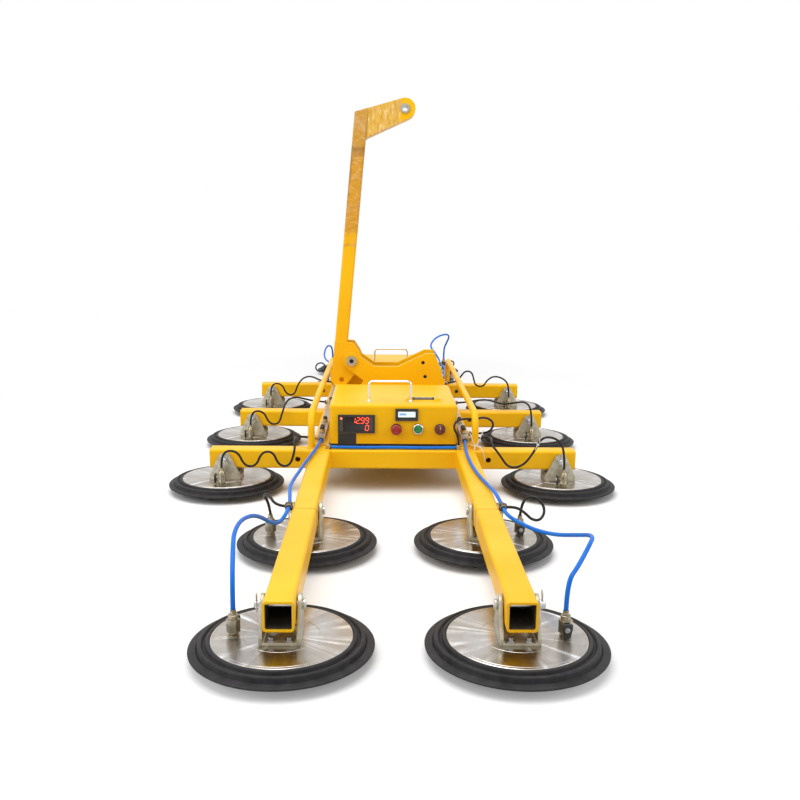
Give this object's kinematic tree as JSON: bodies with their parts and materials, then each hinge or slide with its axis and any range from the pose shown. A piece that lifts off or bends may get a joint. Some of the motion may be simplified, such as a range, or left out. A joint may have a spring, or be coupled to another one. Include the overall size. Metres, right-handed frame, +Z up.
{
  "type": "vacuum glass panel lifter",
  "caption": "Battery vacuum lifter for glass panels: round suction pads rocking on a square-tube frame, hosed control and pump hoods, and a folding lifting mast with an eye.",
  "frame": {"origin": "on the floor at the middle of the lifter, under the middle cross tube", "axes": "+Z up, +Y along the arms away from the control panel, +X to the right of someone facing the panel"},
  "size_m": [1.18, 3.23, 1.054],
  "materials": {
    "yellow": "gloss",
    "zinc": "satin",
    "bronze": "satin",
    "chrome_bar": "polished",
    "black_plastic": "matt",
    "level_plastic": "gloss",
    "green_board": "matt",
    "bar_alloy": "satin",
    "pump_iron": "matt",
    "valve_brass": "satin",
    "red_cap": "gloss",
    "green_cap": "gloss",
    "brown_knob": "gloss",
    "blue_hose": "gloss",
    "black_hose": "satin",
    "seal_rubber": "matt",
    "disc_alloy": "turned"
  },
  "bodies": {
    "frame": {"cross_tubes": "yellow", "frame_rails": "yellow", "extension_arms": "yellow", "deck_plate": "yellow", "guard_rails": "yellow", "control_hood": "yellow", "rear_hood": "yellow", "hood_handles": "chrome_bar", "panel_meter": "black_plastic", "battery_gauge": "black_plastic", "switch_bodies": "black_plastic", "spirit_level": "level_plastic", "battery": "black_plastic", "vacuum_pump": "pump_iron", "release_valve": "valve_brass", "control_board": "green_board", "pivot_cheeks": "yellow", "pivot_bolt": "zinc", "clevis_pins": "zinc", "manifold_bars": "bar_alloy", "hose_fittings": "zinc", "blue_hoses": "blue_hose", "black_hoses": "black_hose"},
    "mast": {"mast_tube": "yellow", "gooseneck": "yellow", "eye_bush": "bronze", "mast_foot_plates": "yellow", "pivot_bush": "bronze"},
    "stop_button": {"stop_button": "red_cap"},
    "start_button": {"start_button": "green_cap"},
    "selector_knob": {"selector_knob": "brown_knob"},
    "lock_bolt": {"lock_bolt": "zinc"},
    "pad_front_left_near": {"front_left_near_seal": "seal_rubber", "front_left_near_head": "disc_alloy"},
    "pad_front_left_far": {"front_left_far_seal": "seal_rubber", "front_left_far_head": "disc_alloy"},
    "pad_front_right_near": {"front_right_near_seal": "seal_rubber", "front_right_near_head": "disc_alloy"},
    "pad_front_right_far": {"front_right_far_seal": "seal_rubber", "front_right_far_head": "disc_alloy"},
    "pad_rear_left_near": {"rear_left_near_seal": "seal_rubber", "rear_left_near_head": "disc_alloy"},
    "pad_rear_left_far": {"rear_left_far_seal": "seal_rubber", "rear_left_far_head": "disc_alloy"},
    "pad_rear_right_near": {"rear_right_near_seal": "seal_rubber", "rear_right_near_head": "disc_alloy"},
    "pad_rear_right_far": {"rear_right_far_seal": "seal_rubber", "rear_right_far_head": "disc_alloy"},
    "pad_side_left_front": {"side_left_front_seal": "seal_rubber", "side_left_front_head": "disc_alloy"},
    "pad_side_left_middle": {"side_left_middle_seal": "seal_rubber", "side_left_middle_head": "disc_alloy"},
    "pad_side_left_rear": {"side_left_rear_seal": "seal_rubber", "side_left_rear_head": "disc_alloy"},
    "pad_side_right_front": {"side_right_front_seal": "seal_rubber", "side_right_front_head": "disc_alloy"},
    "pad_side_right_middle": {"side_right_middle_seal": "seal_rubber", "side_right_middle_head": "disc_alloy"},
    "pad_side_right_rear": {"side_right_rear_seal": "seal_rubber", "side_right_rear_head": "disc_alloy"}
  },
  "joints": [
    {"name": "mast_tilt", "type": "hinge", "parent": "frame", "child": "mast", "pos_m": [-0.126, 0, 0.262], "axis": [0, 1, 0], "range_deg": [0, 85]},
    {"name": "stop_press", "type": "slide", "parent": "frame", "child": "stop_button", "axis": [0, 1, 0], "range_m": [0, 0.0045], "stiffness_N_per_m": 900},
    {"name": "start_press", "type": "slide", "parent": "frame", "child": "start_button", "axis": [0, 1, 0], "range_m": [0, 0.004], "stiffness_N_per_m": 900},
    {"name": "selector_turn", "type": "hinge", "parent": "frame", "child": "selector_knob", "pos_m": [0.124, -0.5, 0.144], "axis": [0, 1, 0], "range_deg": [-45, 45]},
    {"name": "lock_slide", "type": "slide", "parent": "frame", "child": "lock_bolt", "axis": [0, 1, 0], "range_m": [-0.011, 0]},
    {"name": "rock_front_left_near", "type": "hinge", "parent": "frame", "child": "pad_front_left_near", "pos_m": [-0.19, -0.975, 0.071], "axis": [1, 0, 0], "range_deg": [-6, 6]},
    {"name": "rock_front_left_far", "type": "hinge", "parent": "frame", "child": "pad_front_left_far", "pos_m": [-0.19, -1.465, 0.071], "axis": [1, 0, 0], "range_deg": [-6, 6]},
    {"name": "rock_front_right_near", "type": "hinge", "parent": "frame", "child": "pad_front_right_near", "pos_m": [0.19, -0.975, 0.071], "axis": [1, 0, 0], "range_deg": [-6, 6]},
    {"name": "rock_front_right_far", "type": "hinge", "parent": "frame", "child": "pad_front_right_far", "pos_m": [0.19, -1.465, 0.071], "axis": [1, 0, 0], "range_deg": [-6, 6]},
    {"name": "rock_rear_left_near", "type": "hinge", "parent": "frame", "child": "pad_rear_left_near", "pos_m": [-0.19, 0.975, 0.071], "axis": [1, 0, 0], "range_deg": [-6, 6]},
    {"name": "rock_rear_left_far", "type": "hinge", "parent": "frame", "child": "pad_rear_left_far", "pos_m": [-0.19, 1.465, 0.071], "axis": [1, 0, 0], "range_deg": [-6, 6]},
    {"name": "rock_rear_right_near", "type": "hinge", "parent": "frame", "child": "pad_rear_right_near", "pos_m": [0.19, 0.975, 0.071], "axis": [1, 0, 0], "range_deg": [-6, 6]},
    {"name": "rock_rear_right_far", "type": "hinge", "parent": "frame", "child": "pad_rear_right_far", "pos_m": [0.19, 1.465, 0.071], "axis": [1, 0, 0], "range_deg": [-6, 6]},
    {"name": "rock_side_left_front", "type": "hinge", "parent": "frame", "child": "pad_side_left_front", "pos_m": [-0.44, -0.515, 0.071], "axis": [0, 1, 0], "range_deg": [-6, 6]},
    {"name": "rock_side_left_middle", "type": "hinge", "parent": "frame", "child": "pad_side_left_middle", "pos_m": [-0.44, 0, 0.071], "axis": [0, 1, 0], "range_deg": [-6, 6]},
    {"name": "rock_side_left_rear", "type": "hinge", "parent": "frame", "child": "pad_side_left_rear", "pos_m": [-0.44, 0.515, 0.071], "axis": [0, 1, 0], "range_deg": [-6, 6]},
    {"name": "rock_side_right_front", "type": "hinge", "parent": "frame", "child": "pad_side_right_front", "pos_m": [0.44, -0.515, 0.071], "axis": [0, 1, 0], "range_deg": [-6, 6]},
    {"name": "rock_side_right_middle", "type": "hinge", "parent": "frame", "child": "pad_side_right_middle", "pos_m": [0.44, 0, 0.071], "axis": [0, 1, 0], "range_deg": [-6, 6]},
    {"name": "rock_side_right_rear", "type": "hinge", "parent": "frame", "child": "pad_side_right_rear", "pos_m": [0.44, 0.515, 0.071], "axis": [0, 1, 0], "range_deg": [-6, 6]}
  ]
}
